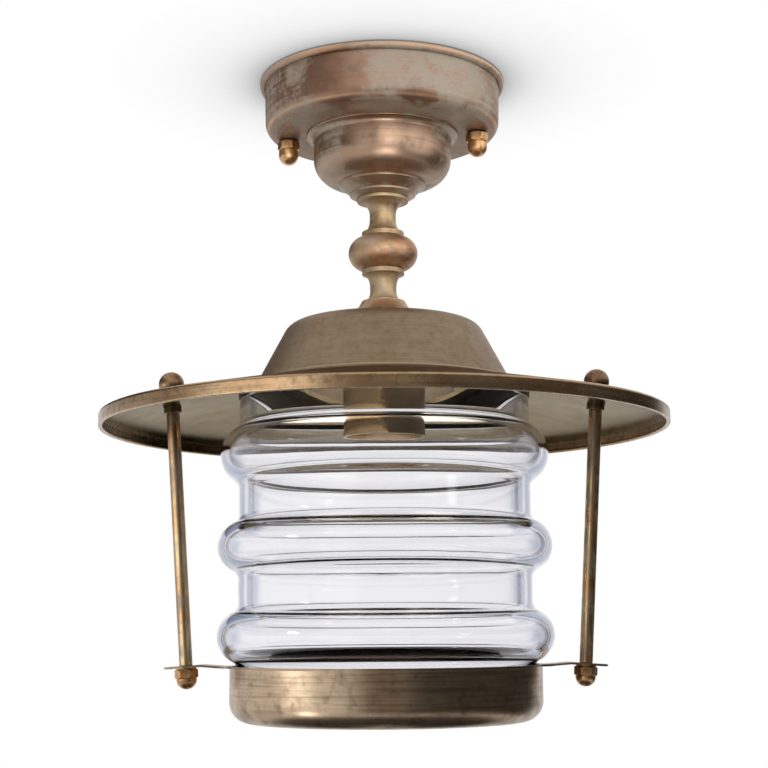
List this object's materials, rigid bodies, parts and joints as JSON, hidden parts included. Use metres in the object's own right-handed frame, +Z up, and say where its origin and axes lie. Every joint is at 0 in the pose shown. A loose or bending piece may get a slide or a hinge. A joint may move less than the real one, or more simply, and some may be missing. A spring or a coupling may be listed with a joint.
{
  "type": "outdoor ceiling light",
  "caption": "Aged brass porch lantern with a ceiling canopy, turned stem, wide brim and a ribbed clear glass held by a cup on slanted posts.",
  "frame": {"origin": "on the lantern's axis, in the ceiling plane, at the top face of the ceiling bracket", "axes": "+Z up into the ceiling, +X to the right-hand post, -Y to the front seen in the picture"},
  "size_m": [0.3, 0.3, 0.3434],
  "materials": {
    "aged_brass": "aged, brushed by hand",
    "copper_toned_brass": "aged, red-brown",
    "plain_brass": "plain",
    "zinc_plated_steel": "zinc plated",
    "seal_rubber": "moulded",
    "clear_glass": "clear, pressed",
    "glazed_porcelain": "glazed",
    "terminal_plastic": "moulded",
    "brown_insulation": "extruded",
    "blue_insulation": "extruded",
    "green_yellow_insulation": "extruded"
  },
  "bodies": {
    "ceiling_fixing": {"mounting_bracket": "zinc_plated_steel", "bracket_studs": "zinc_plated_steel", "stud_lock_nuts": "zinc_plated_steel"},
    "lantern": {"canopy": "aged_brass", "canopy_bowl": "aged_brass", "threaded_tube": "plain_brass", "tube_top_washer": "plain_brass", "tube_top_nut": "plain_brass", "upper_spool": "aged_brass", "stem_knop": "copper_toned_brass", "lower_spool": "aged_brass", "dome_collar": "copper_toned_brass", "dome": "aged_brass", "dome_clamp_washer": "plain_brass", "dome_lock_nut": "plain_brass", "brim": "aged_brass", "glass_top_seal": "seal_rubber", "left_post": "aged_brass", "right_post": "aged_brass", "left_post_collar": "aged_brass", "right_post_collar": "aged_brass", "left_ball_nut": "aged_brass", "right_ball_nut": "aged_brass", "holder_sleeve": "aged_brass", "holder_cap": "glazed_porcelain", "lampholder_body": "glazed_porcelain", "screw_shell": "plain_brass", "centre_contact": "plain_brass", "terminal_block": "terminal_plastic", "terminal_screws": "zinc_plated_steel", "live_lead": "brown_insulation", "neutral_lead": "blue_insulation", "earth_stud": "plain_brass", "earth_tag": "plain_brass", "earth_nut": "plain_brass", "earth_lead": "green_yellow_insulation"},
    "cradle": {"base_cup": "aged_brass", "lug_ring": "aged_brass", "glass": "clear_glass", "base_seal": "seal_rubber"},
    "left_canopy_seal": {"left_canopy_seal": "seal_rubber"},
    "left_canopy_nut": {"left_canopy_nut": "aged_brass"},
    "left_lug_washer": {"left_lug_washer": "plain_brass"},
    "left_lug_nut": {"left_lug_nut": "aged_brass"},
    "right_canopy_seal": {"right_canopy_seal": "seal_rubber"},
    "right_canopy_nut": {"right_canopy_nut": "aged_brass"},
    "right_lug_washer": {"right_lug_washer": "plain_brass"},
    "right_lug_nut": {"right_lug_nut": "aged_brass"}
  },
  "joints": [
    {"name": "canopy_lower", "type": "slide", "parent": "ceiling_fixing", "child": "lantern", "axis": [0, 0, -1], "range_m": [0, 0.11]},
    {"name": "cradle_drop", "type": "slide", "parent": "lantern", "child": "cradle", "axis": [0, 0, -1], "range_m": [0, 0.14]},
    {"name": "left_canopy_seal_travel", "type": "slide", "parent": "lantern", "child": "left_canopy_seal", "axis": [0, 0, -1], "range_m": [0, 0.0081]},
    {"name": "left_canopy_nut_turn", "type": "hinge", "parent": "left_canopy_seal", "child": "left_canopy_nut", "pos_m": [-0.05171, 0.00635, -0.0301], "axis": [0, 0, -1], "range_deg": [0, 2880]},
    {"name": "left_lug_washer_travel", "type": "slide", "parent": "cradle", "child": "left_lug_washer", "axis": [0.0654, 0, -0.9979], "range_m": [0, 0.0073]},
    {"name": "left_lug_nut_turn", "type": "hinge", "parent": "left_lug_washer", "child": "left_lug_nut", "pos_m": [-0.104, 0, -0.3145], "axis": [0.0654, 0, -0.9979], "range_deg": [0, 3240]},
    {"name": "right_canopy_seal_travel", "type": "slide", "parent": "lantern", "child": "right_canopy_seal", "axis": [0, 0, -1], "range_m": [0, 0.0081]},
    {"name": "right_canopy_nut_turn", "type": "hinge", "parent": "right_canopy_seal", "child": "right_canopy_nut", "pos_m": [0.05171, -0.00635, -0.0301], "axis": [0, 0, -1], "range_deg": [0, 2880]},
    {"name": "right_lug_washer_travel", "type": "slide", "parent": "cradle", "child": "right_lug_washer", "axis": [-0.0654, 0, -0.9979], "range_m": [0, 0.0073]},
    {"name": "right_lug_nut_turn", "type": "hinge", "parent": "right_lug_washer", "child": "right_lug_nut", "pos_m": [0.104, 0, -0.3145], "axis": [-0.0654, 0, -0.9979], "range_deg": [0, 3240]}
  ],
  "couplings": [
    {"joint": "left_canopy_seal_travel", "follows": "left_canopy_nut_turn", "m_per_rad": 0.00015915},
    {"joint": "left_lug_washer_travel", "follows": "left_lug_nut_turn", "m_per_rad": 0.00012732},
    {"joint": "right_canopy_seal_travel", "follows": "right_canopy_nut_turn", "m_per_rad": 0.00015915},
    {"joint": "right_lug_washer_travel", "follows": "right_lug_nut_turn", "m_per_rad": 0.00012732}
  ]
}
